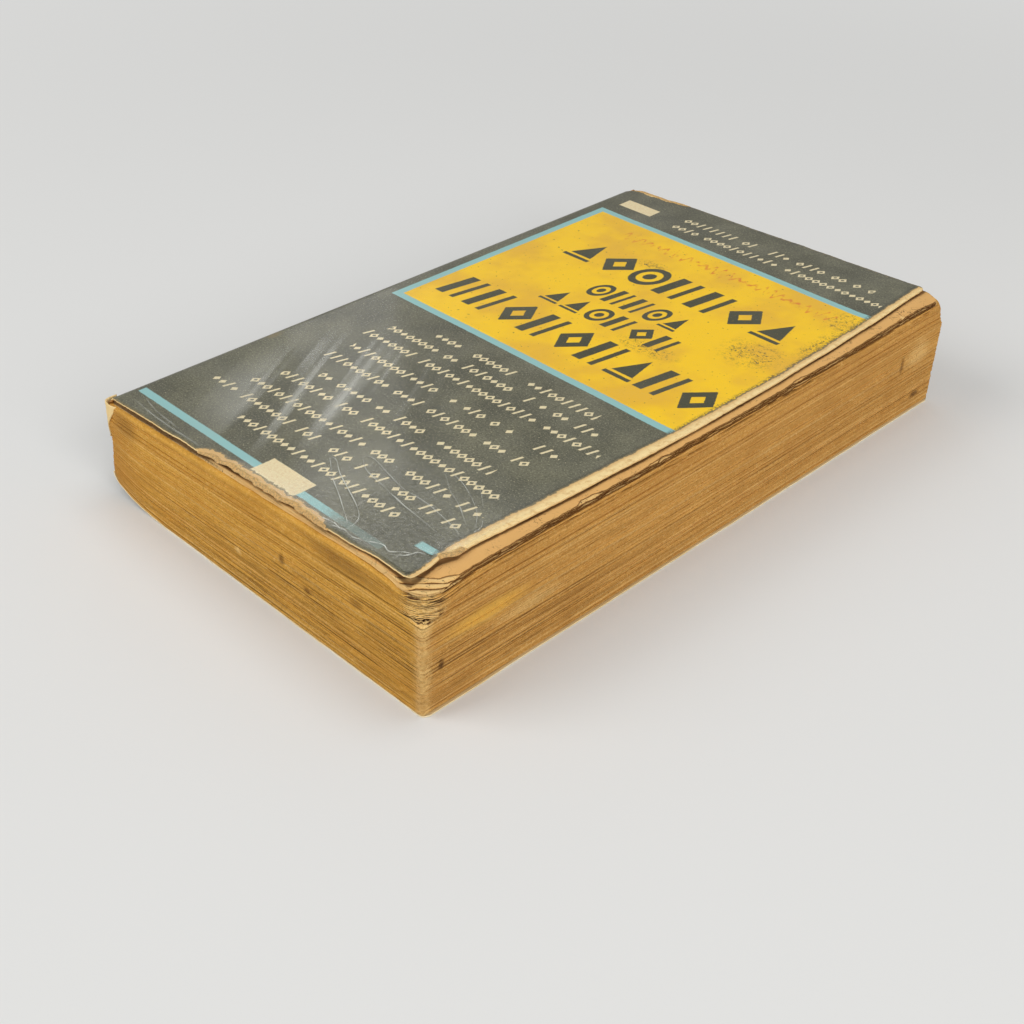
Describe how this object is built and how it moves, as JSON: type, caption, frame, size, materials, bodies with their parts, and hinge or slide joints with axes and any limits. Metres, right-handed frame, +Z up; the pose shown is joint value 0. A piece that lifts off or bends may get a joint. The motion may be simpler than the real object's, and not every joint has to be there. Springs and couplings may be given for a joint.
{
  "type": "paperback book",
  "caption": "Thick worn pocket paperback lying flat, with rolled spine, browned leaf edges and two covers that open on hinges.",
  "frame": {"origin": "under the middle of the closed book, on the surface that its back cover lies on", "axes": "+X from the spine to the fore-edge, +Y from the tail to the head of the pages, +Z up through the closed book"},
  "size_m": [0.104, 0.178, 0.0298],
  "materials": {
    "leaves": "browned pulp paper",
    "glue": "dry binding glue",
    "cover_card": "printed card",
    "film": "clear gloss laminate"
  },
  "bodies": {
    "book_block": {"text_block": "leaves", "spine_glue": "glue", "spine_cover": "cover_card"},
    "front_panel": {"front_cover": "cover_card", "cover_film": "film"},
    "back_panel": {"back_cover": "cover_card"}
  },
  "joints": [
    {"name": "front_cover_hinge", "type": "hinge", "parent": "book_block", "child": "front_panel", "pos_m": [-0.05063, 0, 0.025], "axis": [0, -1, 0], "range_deg": [0, 180]},
    {"name": "back_cover_hinge", "type": "hinge", "parent": "book_block", "child": "back_panel", "pos_m": [-0.05063, 0, 0.00358], "axis": [0, 1, 0], "range_deg": [0, 180]}
  ]
}
